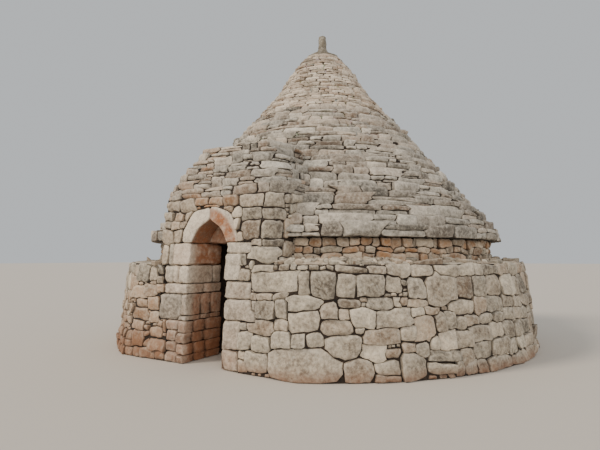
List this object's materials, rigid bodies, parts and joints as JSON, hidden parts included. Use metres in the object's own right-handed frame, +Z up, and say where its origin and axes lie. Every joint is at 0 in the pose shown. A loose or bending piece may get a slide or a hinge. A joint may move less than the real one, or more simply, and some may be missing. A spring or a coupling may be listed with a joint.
{
  "type": "trullo house",
  "caption": "Round dry-stone field house with a ledged wall, a pointed-arch doorway bay and a stepped corbelled cone roof with a finial.",
  "frame": {"origin": "middle of the footprint at ground level; the cone's axis stands 0.17 m from it, towards the doorway", "axes": "+Z up, the doorway faces -Y, +X to the right of the doorway seen from outside"},
  "size_m": [7.68, 7.34, 6.15],
  "materials": {
    "wall_limestone": "weathered dry-stone rubble",
    "slab_limestone": "weathered slabs with lichen",
    "thin_limestone": "cleaner thin slabs",
    "dressed_limestone": "hammer-dressed blocks",
    "finial_limestone": "weathered carved stone"
  },
  "bodies": {
    "root": {"arch_stone_left": "dressed_limestone", "arch_stone_right": "dressed_limestone", "base_wall_back_left": "wall_limestone", "base_wall_back_right": "wall_limestone", "base_wall_front_left": "wall_limestone", "base_wall_front_right": "wall_limestone", "base_wall_left": "wall_limestone", "base_wall_right": "wall_limestone", "bay_head": "wall_limestone", "bay_pier_left": "wall_limestone", "bay_pier_right": "wall_limestone", "bay_roof_course_1": "slab_limestone", "bay_roof_course_2": "slab_limestone", "bay_roof_course_3": "slab_limestone", "bay_roof_course_4": "slab_limestone", "bay_roof_course_5": "slab_limestone", "bay_roof_course_6": "slab_limestone", "bay_roof_course_7": "slab_limestone", "capstone": "finial_limestone", "cone_slab_tier_1": "slab_limestone", "cone_slab_tier_2": "slab_limestone", "cone_slab_tier_3": "slab_limestone", "cone_slab_tier_4": "slab_limestone", "cone_slab_tier_5": "slab_limestone", "cone_thin_tier_1": "thin_limestone", "cone_thin_tier_2": "thin_limestone", "drum_wall_back_left": "wall_limestone", "drum_wall_back_right": "wall_limestone", "drum_wall_front_left": "wall_limestone", "drum_wall_front_right": "wall_limestone", "finial_foot": "finial_limestone", "finial_post": "finial_limestone", "left_jamb_block_1": "dressed_limestone", "left_jamb_block_2": "dressed_limestone", "left_jamb_block_3": "dressed_limestone", "left_jamb_block_4": "dressed_limestone", "left_jamb_block_5": "dressed_limestone", "lintel_inner": "dressed_limestone", "lintel_middle": "dressed_limestone", "right_jamb_block_1": "dressed_limestone", "right_jamb_block_2": "dressed_limestone", "right_jamb_block_3": "dressed_limestone", "right_jamb_block_4": "dressed_limestone", "right_jamb_block_5": "dressed_limestone", "tympanum_left": "dressed_limestone", "tympanum_right": "dressed_limestone"}
  },
  "joints": []
}
